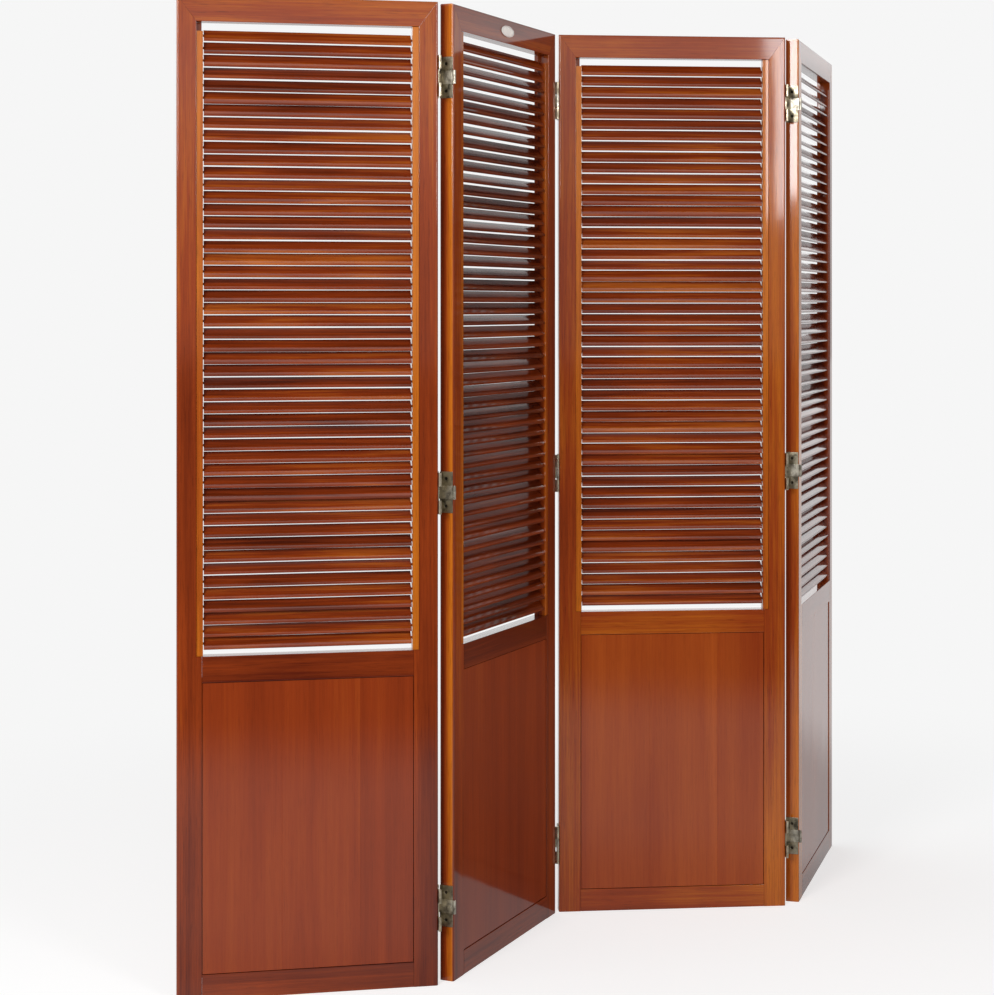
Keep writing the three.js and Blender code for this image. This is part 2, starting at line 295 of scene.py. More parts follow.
# %% Lacquered wood
def lacquered_wood(name, dark, middle, light, figure=0.9, pore_depth=0.45, ribbons=22):
    """Stained, grained wood under glossy lacquer. Colours are linear red, green and blue.

    `figure` is how strongly the grain shows and `ribbons` how fine its broad bands are.
    """
    material, tree, shader = blank_material(name)
    grain = attribute(tree, "grain", "Vector")
    tone = attribute(tree, "tone", "Fac")
    place = tree.nodes.new("ShaderNodeTexCoord").outputs["Object"]

    ribbon = stretched_noise(tree, grain, (ribbons / 30, ribbons, ribbons), 1.0, 5.0, 0.55, 0.5)
    fibre = stretched_noise(tree, grain, (5, 260, 260), 1.0, 3.0, 0.6)
    cloud = stretched_noise(tree, place, (1, 1, 0.6), 3.2, 2.0)
    pore = stretched_noise(tree, grain, (26, 1500, 1500), 1.0, 1.0)

    def swing(noise, amount):
        """Noise about 0, in place of 0.5, times an amount."""
        return calculate(tree, "MULTIPLY", calculate(tree, "SUBTRACT", noise, 0.5), amount)

    total = swing(ribbon, figure)
    for part in (swing(fibre, 0.45 * figure), swing(cloud, 0.5), tone, 0.5):
        total = calculate(tree, "ADD", total, part)
    ground = colour_ramp(tree, total, [(0.12, dark), (0.5, middle), (0.88, light)])

    open_pore = map_range(tree, pore, 0.60, 0.70, to_high=pore_depth)
    stained = tree.nodes.new("ShaderNodeMix")
    stained.data_type = "RGBA"
    stained.inputs["B"].default_value = (*[0.35 * part for part in dark], 1.0)
    tree.links.new(open_pore, stained.inputs["Factor"])
    tree.links.new(ground, stained.inputs["A"])
    tree.links.new(stained.outputs["Result"], shader.inputs["Base Color"])

    wave = stretched_noise(tree, place, (1, 1, 0.5), 9.0, 1.0)
    skin = calculate(tree, "ADD", calculate(tree, "MULTIPLY", fibre, 0.05), wave)
    emboss(tree, shader, skin, 0.35, 1.2 * MM, ("Normal", "Coat Normal"))

    shader.inputs["Roughness"].default_value = 0.42
    shader.inputs["Specular IOR Level"].default_value = 0.05
    shader.inputs["Coat Weight"].default_value = 1.0
    shader.inputs["Coat Roughness"].default_value = 0.07
    shader.inputs["Coat IOR"].default_value = 1.5
    return material


FRAME_WOOD = lacquered_wood(
    "lacquered frame", (0.10, 0.010, 0.002), (0.30, 0.043, 0.005), (0.60, 0.165, 0.010))
BOARD_WOOD = lacquered_wood(
    "lacquered board", (0.15, 0.016, 0.003), (0.28, 0.038, 0.005), (0.42, 0.080, 0.009),
    figure=0.6, pore_depth=0.25)
SLAT_WOOD = lacquered_wood(
    "lacquered slats", (0.08, 0.010, 0.002), (0.27, 0.037, 0.005), (0.56, 0.145, 0.015),
    figure=1.1, pore_depth=0.35, ribbons=90)
print("wood finishes:", FRAME_WOOD.name, BOARD_WOOD.name, SLAT_WOOD.name)

# %% [markdown]
# ## Stiles
# A stile is one long piece. Its outer arrises are rounded, its front is rebated beside the
# louvres for the strip that carries the slats' pins, and its top end is mitred. We grow it
# upwards from its foot: the full section first, then the section less the rebate, then the
# mitred end, whose points are drawn down to the mitre line. The wood differs from panel to panel.
# Along a stile the tone changes too, mostly lighter towards the top: a painted sheen. The outer
# edge of a panel is painted lighter in front, a painted highlight, and darker at the back, a
# painted shadow, deepest on panel 2 where panel 1 shades its edge.

# %% Sizes of the frame
STILE = 45 * MM
REBATE = 10 * MM
REVEAL = STILE - REBATE  # what shows of a stile beside the pivot strip
TOP_RAIL = 47 * MM
MID_RAIL = 47 * MM
BOTTOM_RAIL = 45 * MM
BOARD = 523 * MM
BOARD_TOP = BOTTOM_RAIL + BOARD
LOUVRE_BOTTOM = BOARD_TOP + MID_RAIL
LOUVRE_TOP = PANEL_HEIGHT - TOP_RAIL
REBATE_BACK = HALF_THICK - 8 * MM
SEAT = 0.3 * MM  # the hairline between two pieces
OUTER_ROUND = 3.5 * MM
INNER_ROUND = 0.9 * MM
# The tones of a panel's outer edge are painted light in front and painted shadow behind.
EDGE_DEEP = 0.3 * MM  # how deep the tones of a panel's outer edge reach


def faces_at(bm, height):
    """Level faces at a height."""
    return [f for f in bm.faces if all(abs(v.co.z - height) < NEAR for v in f.verts)]


def split_level(bm, height, point, normal):
    """Splits the level faces at a height along an upright plane."""
    faces = faces_at(bm, height)
    parts = set(faces)
    for face in faces:
        parts.update(face.edges)
        parts.update(face.verts)
    bmesh.ops.bisect_plane(bm, geom=list(parts), plane_co=point, plane_no=normal)


def grow(bm, faces, rise):
    """Extrudes level faces upwards and returns the new points."""
    grown = bmesh.ops.extrude_face_region(bm, geom=faces)["geom"]
    points = [part for part in grown if isinstance(part, bmesh.types.BMVert)]
    bmesh.ops.translate(bm, vec=(0, 0, rise), verts=points)
    old = [face for face in faces if face.is_valid]
    if old:
        bmesh.ops.delete(bm, geom=old, context="FACES")
    return points


def upright(along):
    """Whether an edge stands upright."""
    return abs(along.z) > STRAIGHT


def lengthwise(along):
    """Whether an edge runs from stile to stile."""
    return abs(along.x) > STRAIGHT


def left_stile(draw, tones, edge_lit_and_shaded):
    """A left stile, with its tones at foot and top, and the painted light and shadow of its edge at
    front and back.
    """
    bm = new_timber()
    points = add_block(bm, (0, -HALF_THICK, 0), (STILE, HALF_THICK, LOUVRE_BOTTOM))
    outer = edges_where(points, lambda m, a: upright(a) and m.x < NEAR)
    inner = edges_where(points, lambda m, a: upright(a) and m.x > STILE - NEAR)
    round_over(bm, outer, OUTER_ROUND, 5)
    round_over(bm, inner, INNER_ROUND, 2)
    split_level(bm, LOUVRE_BOTTOM, (REVEAL, 0, 0), (1, 0, 0))
    split_level(bm, LOUVRE_BOTTOM, (0, REBATE_BACK, 0), (0, 1, 0))

    def beside_rebate(face):
        """Whether a face lies clear of the rebate."""
        middle = face.calc_center_median()
        return middle.x < REVEAL or middle.y > REBATE_BACK

    section = [face for face in faces_at(bm, LOUVRE_BOTTOM) if beside_rebate(face)]
    grow(bm, section, LOUVRE_TOP - LOUVRE_BOTTOM)
    end = [f for f in faces_at(bm, LOUVRE_TOP) if f.calc_center_median().x < REVEAL]
    for point in grow(bm, end, TOP_RAIL):
        point.co.z = PANEL_HEIGHT - point.co.x * TOP_RAIL / REVEAL
    lip = edges_where(
        list(bm.verts),
        lambda m, a: upright(a) and abs(m.x - REVEAL) < NEAR and m.y < -HALF_THICK + NEAR)
    round_over(bm, lip, INNER_ROUND, 2)
    mark_grain(bm, "z", sawn_from(draw), *tones)
    # The outer edge is painted: lighter in front, a painted highlight, and darker at the back, a
    # painted shadow.
    shade = bm.verts.layers.float["tone"]
    for point in bm.verts:
        if point.co.x < EDGE_DEEP:
            point[shade] = edge_lit_and_shaded[point.co.y > 0]
    return bm


def turn_over(bm):
    """Makes a left-hand piece right-handed."""
    bmesh.ops.scale(bm, vec=(-1, 1, 1), verts=bm.verts)
    bmesh.ops.translate(bm, vec=(PANEL_WIDTH, 0, 0), verts=bm.verts)
    bmesh.ops.reverse_faces(bm, faces=bm.faces)
    return bm


# %% Make the stiles
# Tones of each stile at its foot and top; their change along the stile is mostly a painted sheen,
# lighter towards the top. Then the painted light in front and painted shadow behind on each panel's
# edges.
STILE_TONES_AND_SHEEN = {
    (1, "left"): (-0.22, 0.08), (1, "right"): (-0.17, 0.02),
    (2, "left"): (-0.14, 0.02), (2, "right"): (-0.14, -0.14),
    (3, "left"): (0.10, -0.02), (3, "right"): (0.08, 0.12),
    (4, "left"): (0.24, 0.34), (4, "right"): (0.05, 0.20),
}
# Painted highlight on the front and painted shadow on the back of each panel's outer edges.
EDGE_LIGHT_AND_SHADE = {1: (0.2, 0.1), 2: (0.5, -0.25), 3: (0.2, 0.1), 4: (0.27, 0.03)}

for number in NUMBERS:
    body = f"panel_{number}"
    for index, side in enumerate(("left", "right")):
        draw = random.Random(10 * number + index)
        stile = left_stile(draw, STILE_TONES_AND_SHEEN[number, side], EDGE_LIGHT_AND_SHADE[number])
        if side == "right":
            turn_over(stile)
        node = f"{body}_stile_{side}"
        piece = finish_piece(
            stile, f"{node}_wood", BENCH[number], FRAME_WOOD, body, [node])
print("a stile has", len(piece.data.polygons), "faces")

# %% [markdown]
# ## Rails
# The top rail is mitred into the stiles and shares their rounded outer arrises. The mid and
# bottom rails run between the stiles, so only a hairline shows at the joints. A rail could be
# drawn as one frame with the stiles, but then the grain could not turn at the corners.

# %% Make the rails
# Tones of the top, mid and bottom rails.
RAIL_TONES = {
    1: (0.04, -0.21, -0.16), 2: (-0.08, -0.38, -0.08),
    3: (0.01, 0.02, 0.07), 4: (-0.05, -0.05, -0.02),
}


def top_rail(draw, tone):
    """The top rail, rounded along its top and mitred at both ends."""
    bm = new_timber()
    low = (0, -HALF_THICK, LOUVRE_TOP + SEAT)
    points = add_block(bm, low, (PANEL_WIDTH, HALF_THICK, PANEL_HEIGHT))
    crown = edges_where(points, lambda m, a: lengthwise(a) and m.z > PANEL_HEIGHT - NEAR)
    under = edges_where(points, lambda m, a: lengthwise(a) and m.z < LOUVRE_TOP + 2 * SEAT)
    round_over(bm, crown, OUTER_ROUND, 5)
    round_over(bm, under, INNER_ROUND, 2)
    for point in bm.verts:
        inward = (PANEL_HEIGHT - point.co.z) * REVEAL / TOP_RAIL + SEAT
        point.co.x += inward if point.co.x < PANEL_WIDTH / 2 else -inward
    mark_grain(bm, "x", sawn_from(draw), tone)
    return bm


def rail(draw, tone, bottom, top):
    """A rail between the stiles."""
    bm = new_timber()
    low = (STILE + SEAT, -HALF_THICK, bottom)
    points = add_block(bm, low, (PANEL_WIDTH - STILE - SEAT, HALF_THICK, top))
    long = edges_where(points, lambda m, a: lengthwise(a))
    round_over(bm, long, INNER_ROUND, 2)
    mark_grain(bm, "x", sawn_from(draw), tone)
    return bm


for number in NUMBERS:
    body = f"panel_{number}"
    draw = random.Random(100 + number)
    top_tone, mid_tone, bottom_tone = RAIL_TONES[number]
    rails = {
        "top_rail": top_rail(draw, top_tone),
        "mid_rail": rail(draw, mid_tone, BOARD_TOP, LOUVRE_BOTTOM),
        "bottom_rail": rail(draw, bottom_tone, 0.0, BOTTOM_RAIL),
    }
    for kind, mesh in rails.items():
        node = f"{body}_{kind}"
        finish_piece(
            mesh, f"{node}_wood", BENCH[number], FRAME_WOOD, body, [node])
print("rails on", len(NUMBERS), "panels")

# %% [markdown]
# ## Lower boards
# The board is glued up from upright staves and let into the frame by a tongue, so a thin shadow
# line runs round it. Each stave is its own block of timber with its own grain, and the glue
# lines are the hair-thin arrises between them.

# %% Make the boards
BOARD_REVEAL = 1.1 * MM
BOARD_HALF = HALF_THICK - 1.5 * MM
TONGUE_DEEP = 8 * MM
TONGUE_HALF = 4 * MM
STAVE = 141 * MM
FIRST_GLUE_LINE = 188 * MM
GLUE_ROUND = 0.12 * MM
# The tongue shows only at the bottom of the reveal round the board; its darker tone is painted
# shade in that groove.
TONGUE_SHADE_TONE = -0.2
STAVE_TONES = {
    1: (-0.04, -0.02, -0.05), 2: (-0.02, -0.04, -0.08),
    3: (0.16, 0.17, 0.10), 4: (0.25, 0.22, 0.10),
}


def board(draw, flipped, tones):
    """The staved board with its tongue."""
    left, right = STILE + BOARD_REVEAL, PANEL_WIDTH - STILE - BOARD_REVEAL
    lines = [left, FIRST_GLUE_LINE, FIRST_GLUE_LINE + STAVE, right]
    if flipped:
        lines = [PANEL_WIDTH - line for line in reversed(lines)]
    bottom, top = BOTTOM_RAIL + BOARD_REVEAL, BOARD_TOP - BOARD_REVEAL
    parts = []
    for start, end, tone in zip(lines, lines[1:], tones):
        stave = block((start, -BOARD_HALF, bottom), (end, BOARD_HALF, top))
        glue_lines = edges_where(list(stave.verts), lambda m, a: upright(a))
        round_over(stave, glue_lines, GLUE_ROUND, 1)
        mark_grain(stave, "z", sawn_from(draw), tone)
        parts.append(stave)
    tongue = block(
        (STILE - TONGUE_DEEP, -TONGUE_HALF, BOTTOM_RAIL - TONGUE_DEEP),
        (PANEL_WIDTH - STILE + TONGUE_DEEP, TONGUE_HALF, BOARD_TOP + TONGUE_DEEP))
    mark_grain(tongue, "z", sawn_from(draw), TONGUE_SHADE_TONE)
    return glue([*parts, tongue])


for number in NUMBERS:
    body = f"panel_{number}"
    node = f"{body}_board"
    mesh = board(random.Random(200 + number), number % 2 == 0, STAVE_TONES[number])
    finish_piece(mesh, f"{node}_wood", BENCH[number], BOARD_WOOD, body, [node])
print("boards of", len(STAVE_TONES[1]), "staves")

# %% [markdown]
# ## Slats and pivot strips
# Each slat is a thin board with two round noses, turning on a pin at each end. The slats were
# set by hand, so their tilts differ a little. Three of every fifty turn on joints of their own
# in the model. They and their neighbours stand exactly as the model has them, so they stay clear
# of each other when they turn. The others lean and sit a little more unevenly, and the same
# function draws them all.

# %% Sizes of the slats
SLATS = 50
PITCH = 22.3 * MM
SLAT_WIDTH = 27.5 * MM
SLAT_THICK = 6.2 * MM
SLAT_CROWN = 0.5 * MM
SLAT_GAP = 1.4 * MM
STRIP = 12 * MM
STRIP_BACK = 2 * MM  # how far a strip lies behind the panel's face
STRIP_SHORT = 17 * MM  # how much shorter one of the two strips is
STRIP_ROUND = 0.6 * MM
PIN_RADIUS = 2.4 * MM
FIXED_PIN = SLAT_GAP + 1 * MM
FREE_PIN = SLAT_GAP + 9 * MM
FREE = {"upper": 10, "middle": 25, "lower": 40}
FIRST_SLAT = LOUVRE_TOP - 24 * MM
SLAT_LEFT = REVEAL + STRIP + SLAT_GAP
SLAT_LENGTH = PANEL_WIDTH - 2 * SLAT_LEFT

# Leans from upright, in degrees: at the top, how much more at the bottom, and left by hand.
TOP_LEAN, MORE_LEAN, HAND_LEAN = 42, 9, 5.5
# How far the fixed slats stray from that, in degrees, and how far they bow and shift, in mm.
STRAY_LEAN = (-6, 3)
BOW_MM = 0.5
SHIFT_MM = 0.3

# Tones of each panel's slats, darker on panels 2 and 4 as painted shade, and their spread; then the
# painted light and shade of its strips at front and back.
SLAT_TONES_AND_SHADE = {1: -0.03, 2: -0.22, 3: -0.01, 4: -0.16}
SLAT_SPREAD = 0.06
# Painted light on the strips' fronts, and painted shade at the backs of those on panels 2 and 4.
STRIP_LIGHT_AND_SHADE = {1: (0.29, 0.29), 2: (0.20, -0.40), 3: (0.29, 0.29), 4: (0.10, -0.45)}


def slat_tilt(number, count):
    """How far slat `count` of a panel leans from upright, in degrees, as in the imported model."""
    down = (count - 1) / (SLATS - 1)
    by_hand = math.sin(count * 2.4 + number * 1.9) * math.cos(count * 0.83 + number)
    return TOP_LEAN + MORE_LEAN * down + HAND_LEAN * by_hand


def slat_pin(start, end):
    """A pin along x."""
    bm = new_timber()
    bmesh.ops.create_cone(
        bm, cap_ends=True, segments=6, radius1=PIN_RADIUS, radius2=PIN_RADIUS, depth=end - start)
    bmesh.ops.rotate(bm, matrix=Matrix.Rotation(math.pi / 2, 3, "Y"), verts=bm.verts)
    bmesh.ops.translate(bm, vec=((start + end) / 2, 0, 0), verts=bm.verts)
    return bm


def slat_blade(draw):
    """The blade of a slat: two round noses with slightly crowned faces between, drawn along x."""
    bm = new_timber()
    nose = SLAT_THICK / 2 - SLAT_CROWN
    bmesh.ops.create_circle(bm, cap_ends=True, segments=12, radius=nose)
    reach = SLAT_WIDTH / 2 - nose
    for point in bm.verts:
        point.co.x += math.copysign(reach, point.co.x)
    wide = [edge for edge in bm.edges if edge.calc_length() > reach]
    bmesh.ops.subdivide_edges(bm, edges=wide, cuts=3)
    for point in bm.verts:
        if abs(point.co.x) < reach:
            point.co.y += math.copysign(SLAT_CROWN, point.co.y) * (1 - (point.co.x / reach) ** 2)
    bmesh.ops.rotate(bm, matrix=Matrix.Rotation(math.pi / 2, 3, "Y"), verts=bm.verts)
    section = list(bm.faces)
    grown = bmesh.ops.extrude_face_region(bm, geom=section)["geom"]
    far = [part for part in grown if isinstance(part, bmesh.types.BMVert)]
    bmesh.ops.translate(bm, vec=(SLAT_LENGTH, 0, 0), verts=far)
    long = [edge for edge in bm.edges if edge.calc_length() > STILE]
    bmesh.ops.subdivide_edges(bm, edges=long, cuts=1)
    bow = draw.uniform(-BOW_MM, BOW_MM) * MM
    for point in bm.verts:
        point.co.z += bow * math.sin(math.pi * point.co.x / SLAT_LENGTH)
    return bm


def slat(number, count, pin_reach):
    """Slat `count` of a panel, with pins that reach `pin_reach` past its ends."""
    draw = random.Random(1000 * number + count)
    buried = 2 * MM
    bm = glue([
        slat_blade(draw),
        slat_pin(-pin_reach, buried),
        slat_pin(SLAT_LENGTH - buried, SLAT_LENGTH + pin_reach),
    ])
    # The panel's slat tone, darker on panels 2 and 4 as painted shade, plus a random spread.
    mark_grain(bm, "x", sawn_from(draw), SLAT_TONES_AND_SHADE[number] + draw.gauss(0, SLAT_SPREAD))
    tilt = slat_tilt(number, count)
    level = FIRST_SLAT - (count - 1) * PITCH
    if all(abs(count - single) > 1 for single in FREE.values()):
        tilt += draw.uniform(*STRAY_LEAN)
        level += draw.uniform(-SHIFT_MM, SHIFT_MM) * MM
    lean = Matrix.Rotation(math.radians(-tilt), 3, "X")
    bmesh.ops.rotate(bm, matrix=lean, verts=bm.verts)
    bmesh.ops.translate(bm, vec=(SLAT_LEFT, 0, level), verts=bm.verts)
    return bm


def pivot_strip(number, side, short, draw):
    """The strip that carries the slats' pins at one side, with painted light and shade at its front
    and back.
    """
    top = LOUVRE_TOP - (STRIP_SHORT if short else SEAT)
    low = Vector((REVEAL + SEAT, -HALF_THICK + STRIP_BACK, LOUVRE_BOTTOM + SEAT))
    high = Vector((REVEAL + STRIP, REBATE_BACK - SEAT, top))
    if side == "right":
        low.x, high.x = PANEL_WIDTH - high.x, PANEL_WIDTH - low.x
    bm = block(low, high)
    round_over(bm, edges_where(list(bm.verts), lambda m, a: upright(a)), STRIP_ROUND, 2)
    mark_grain(bm, "z", sawn_from(draw), draw.uniform(-0.05, 0.05))
    # Painted light on the front of the strip and, on panels 2 and 4, painted shade towards its
    # back, where the slats shade its inner face.
    shade = bm.verts.layers.float["tone"]
    for point in bm.verts:
        point[shade] += STRIP_LIGHT_AND_SHADE[number][point.co.y > 0]
    return bm


# %% Make the louvre banks
for number in NUMBERS:
    body = f"panel_{number}"
    bank = f"{body}_louvre_bank"
    short_side = "left" if number % 2 else "right"
    draw = random.Random(300 + number)
    strips = glue([
        pivot_strip(number, side, side == short_side, draw) for side in ("left", "right")])
    finish_piece(
        strips, f"{body}_strips_wood", BENCH[number], FRAME_WOOD, body, [bank])
    fixed = [count for count in range(1, SLATS + 1) if count not in FREE.values()]
    bank_slats = glue([slat(number, count, FIXED_PIN) for count in fixed])
    finish_piece(
        bank_slats, f"{body}_slats_wood", BENCH[number], SLAT_WOOD, body, [bank])
    for place, count in FREE.items():
        node = f"{body}_slat_{place}"
        single = slat(number, count, FREE_PIN)
        piece = finish_piece(
            single, f"{node}_wood", BENCH[number], SLAT_WOOD, node, [node])
print("a slat has", len(piece.data.polygons), "faces")

# %% [markdown]
# ## Hinges
# Screen hinges have a leaf on each panel's edge. The left leaf carries the knuckles at top and
# bottom, the right one a raised strap whose ends are the middle knuckles. The strap is a piece
# of its own here, because it is brighter than its leaf: rubbed, and with a painted highlight
# where the raised strap catches the light, while the leaf is aged darker and carries painted
# shade in the fold. A flat sheet with countersunk holes is easiest made as its outline: the
# outline and the holes are filled as one face, the face is extruded, and the far ends of the
# holes are drawn in.

# %% Sizes of the hinges
EDGE_GAP = 5.6 * MM
LEAF_OUT = EDGE_GAP / 2 - SEAT
LEAF_THICK = 1.7 * MM
LEAF_IN = LEAF_OUT - LEAF_THICK
LEAF_HALF = HALF_THICK - 1 * MM
LEAF_CORNER = 1.2 * MM
LEAF_ROUND = 0.22 * MM
HINGE_HALF = 38 * MM
THIRD = HINGE_HALF / 3
END_GAP = 0.4 * MM
OUTER_THIRDS = [(-HINGE_HALF, -THIRD - END_GAP / 2), (THIRD + END_GAP / 2, HINGE_HALF)]
MIDDLE_THIRD = (-THIRD + END_GAP / 2, THIRD - END_GAP / 2)
PIN_Y = 17.6 * MM
KNUCKLE = 2.9 * MM
KNUCKLE_ROUND = 0.3 * MM
HINGE_PIN = 1.2 * MM
KNUCKLE_WALL = 1.3 * MM
PIN_SUNK = 0.25 * MM  # how deep a pin's end lies in its knuckle
PIN_STEP = 0.12 * MM  # how wide the step down to it is
SCREW_LEVELS = (-2 * THIRD, 2 * THIRD)
SCREW_HEAD = 3.3 * MM
SCREW_SHANK = 1.5 * MM
SCREW_DEPTH = 1.5 * MM
SCREW_PLAY = 0.35 * MM
SCREW_SUNK = 0.25 * MM
SLOT_HALF = 0.38 * MM
SLOT_DEEP = 0.7 * MM
SLOT_FLOOR = 0.72  # how long the slot's floor is beside its mouth
STRAP_THICK = 1.1 * MM
STRAP_ROUND = 0.35 * MM
STRAP_SUNK = 0.2 * MM  # how far the strap's back stays short of the leaf's
TAB_LAP = 2 * MM
HINGE_LEVELS = {"bottom": 138 * MM, "middle": 900 * MM, "top": 1664 * MM}
FOLDS = {"1_2": (1, 1), "2_3": (2, -1), "3_4": (3, 1)}


# %% Hinge parts
def leaf_plate():
    """A leaf flat on the bench: x across its width, y along its height, its show face at z = 0."""
    bm = new_timber()
    bmesh.ops.create_grid(bm, x_segments=1, y_segments=1, size=1.0)
    bmesh.ops.scale(bm, vec=(LEAF_HALF, HINGE_HALF, 1), verts=bm.verts)
    bmesh.ops.bevel(
        bm, geom=list(bm.verts), offset=LEAF_CORNER, offset_type="OFFSET", segments=4,
        profile=0.5, affect="VERTICES", material=-1)
    bmesh.ops.delete(bm, geom=list(bm.faces), context="FACES_ONLY")
    for y in SCREW_LEVELS:
        ring = bmesh.ops.create_circle(bm, cap_ends=False, segments=24, radius=SCREW_HEAD)["verts"]
        bmesh.ops.translate(bm, vec=(0, y, 0), verts=ring)
    bmesh.ops.triangle_fill(bm, edges=list(bm.edges), use_beauty=True, normal=(0, 0, 1))
    grown = bmesh.ops.extrude_face_region(bm, geom=list(bm.faces))["geom"]
    back = [part for part in grown if isinstance(part, bmesh.types.BMVert)]
    bmesh.ops.translate(bm, vec=(0, 0, -LEAF_THICK), verts=back)
    narrow = SCREW_SHANK / SCREW_HEAD
    for y in SCREW_LEVELS:
        shank = [p for p in back if math.hypot(p.co.x, p.co.y - y) < 1.01 * SCREW_HEAD]
        bmesh.ops.scale(
            bm, vec=(narrow, narrow, 1), verts=shank, space=Matrix.Translation((0, -y, 0)))
    rim = [
        edge for edge in bm.edges
        if all(abs(v.co.z) < NEAR for v in edge.verts) and edge.is_manifold
        and edge.calc_face_angle(0) > 0.5]
    round_over(bm, rim, LEAF_ROUND, 2)
    return bm


def screw():
    """A countersunk screw head with a slot, its top just under z = 0."""
    bm = new_timber()
    bmesh.ops.create_cone(
        bm, cap_ends=True, segments=24, radius1=SCREW_SHANK, radius2=SCREW_HEAD - SCREW_PLAY,
        depth=SCREW_DEPTH)
    bmesh.ops.translate(bm, vec=(0, 0, -SCREW_DEPTH / 2 - SCREW_SUNK), verts=bm.verts)
    for side in (-SLOT_HALF, SLOT_HALF):
        top = [f for f in bm.faces if f.normal.z > STRAIGHT]
        parts = {*top, *(e for f in top for e in f.edges), *(v for f in top for v in f.verts)}
        bmesh.ops.bisect_plane(bm, geom=list(parts), plane_co=(0, side, 0), plane_no=(0, 1, 0))
    slot = [
        f for f in bm.faces
        if f.normal.z > STRAIGHT and abs(f.calc_center_median().y) < SLOT_HALF / 2]
    floor = grow(bm, slot, -SLOT_DEEP)
    bmesh.ops.scale(bm, vec=(SLOT_FLOOR, 1, 1), verts=floor)
    return bm


def knuckle(y, low, high):
    """A knuckle, upright at y, between two heights, with its pin's end showing."""
    bm = new_timber()
    bmesh.ops.create_cone(
        bm, cap_ends=True, segments=28, radius1=KNUCKLE, radius2=KNUCKLE, depth=high - low)
    ends = [face for face in bm.faces if len(face.verts) > 4]
    rims = [edge for face in ends for edge in face.edges]
    round_over(bm, rims, KNUCKLE_ROUND, 2)
    caps = [face for face in bm.faces if len(face.verts) > 4]
    bmesh.ops.inset_individual(bm, faces=caps, thickness=KNUCKLE_WALL, depth=0.0)
    bmesh.ops.inset_individual(bm, faces=caps, thickness=PIN_STEP, depth=-PIN_SUNK)
    bmesh.ops.translate(bm, vec=(0, y, (low + high) / 2), verts=bm.verts)
    return bm


def plain_block(low, high, radius):
    """A block with all its arrises rounded."""
    bm = block(low, high)
    round_over(bm, list(bm.edges), radius, 2)
    return bm


def tab(hand, side, low, high):
    """The sheet between a leaf and its knuckle."""
    x = sorted((hand * LEAF_OUT, hand * LEAF_IN))
    y = sorted((side * (LEAF_HALF - TAB_LAP), side * PIN_Y))
    return plain_block((x[0], y[0], low), (x[1], y[1], high), 0.2 * MM)


def stand_up(bm, hand):
    """Turns a leaf from the bench onto a panel's edge. `hand` is -1 for the left panel."""
    upright_leaf = Matrix((
        (0, 0, -hand, hand * LEAF_IN), (hand, 0, 0, 0), (0, 1, 0, 0), (0, 0, 0, 1)))
    bmesh.ops.transform(bm, matrix=upright_leaf, verts=bm.verts)
    return bm


def hinge_screws(hand, draw):
    """Both screws of a leaf, each stopped at its own angle."""
    parts = []
    for y in SCREW_LEVELS:
        part = screw()
        turn = Matrix.Rotation(draw.uniform(0, math.pi), 3, "Z")
        bmesh.ops.rotate(part, matrix=turn, verts=part.verts)
        bmesh.ops.translate(part, vec=(0, y, 0), verts=part.verts)
        parts.append(stand_up(part, hand))
    return glue(parts)


def pin_leaf(side):
    """The leaf on the left panel, with the outer knuckles and the pin on its working side."""
    parts = [stand_up(leaf_plate(), -1)]
    for low, high in OUTER_THIRDS:
        for y in (-1, 1):
            parts += [knuckle(y * PIN_Y, low, high), tab(-1, y, low, high)]
    parts.append(pin(side * PIN_Y))
    return glue(parts)


def pin(y):
    """The pin between the outer knuckles."""
    bm = new_timber()
    length = 2 * THIRD + 4 * MM
    bmesh.ops.create_cone(
        bm, cap_ends=True, segments=16, radius1=HINGE_PIN, radius2=HINGE_PIN, depth=length)
    bmesh.ops.translate(bm, vec=(0, y, 0), verts=bm.verts)
    return bm


def strap():
    """The raised strap across the leaf on the right panel, with the middle knuckles at its ends."""
    low = (LEAF_IN - STRAP_THICK, -LEAF_HALF, MIDDLE_THIRD[0])
    high = (LEAF_OUT - STRAP_SUNK, LEAF_HALF, MIDDLE_THIRD[1])
    parts = [plain_block(low, high, STRAP_ROUND)]
    for y in (-1, 1):
        parts += [knuckle(y * PIN_Y, *MIDDLE_THIRD), tab(1, y, *MIDDLE_THIRD)]
    return glue(parts)


# %% [markdown]
# ## Aged brass
# The hinges are brass gone brown. The metal stays bright where hands and the other leaf rub it
# and darkens in patches elsewhere, so the colour and the roughness follow the same noise.

# %% Aged brass
def aged_brass(name, dark, bright, rough_bright, rough_dark):
    """Brass between a dark and a bright state, each with its own roughness."""
    material, tree, shader = blank_material(name)
    place = tree.nodes.new("ShaderNodeTexCoord").outputs["Object"]
    patch = stretched_noise(tree, place, (1, 1, 1), 75.0, 4.0, 0.55, 0.3)
    colour = colour_ramp(tree, patch, [(0.32, dark), (0.58, bright)])
    tree.links.new(colour, shader.inputs["Base Color"])
    rough = map_range(tree, patch, 0.35, 0.65, rough_dark, rough_bright, smooth=False)
    tree.links.new(rough, shader.inputs["Roughness"])
    scratch = stretched_noise(tree, place, (1, 1, 0.15), 2600.0, 2.0)
    emboss(tree, shader, scratch, 0.3, 0.1 * MM)
    shader.inputs["Metallic"].default_value = 1.0
    return material


HINGE_BRASS = aged_brass("aged brass", (0.22, 0.18, 0.12), (0.66, 0.58, 0.43), 0.24, 0.42)
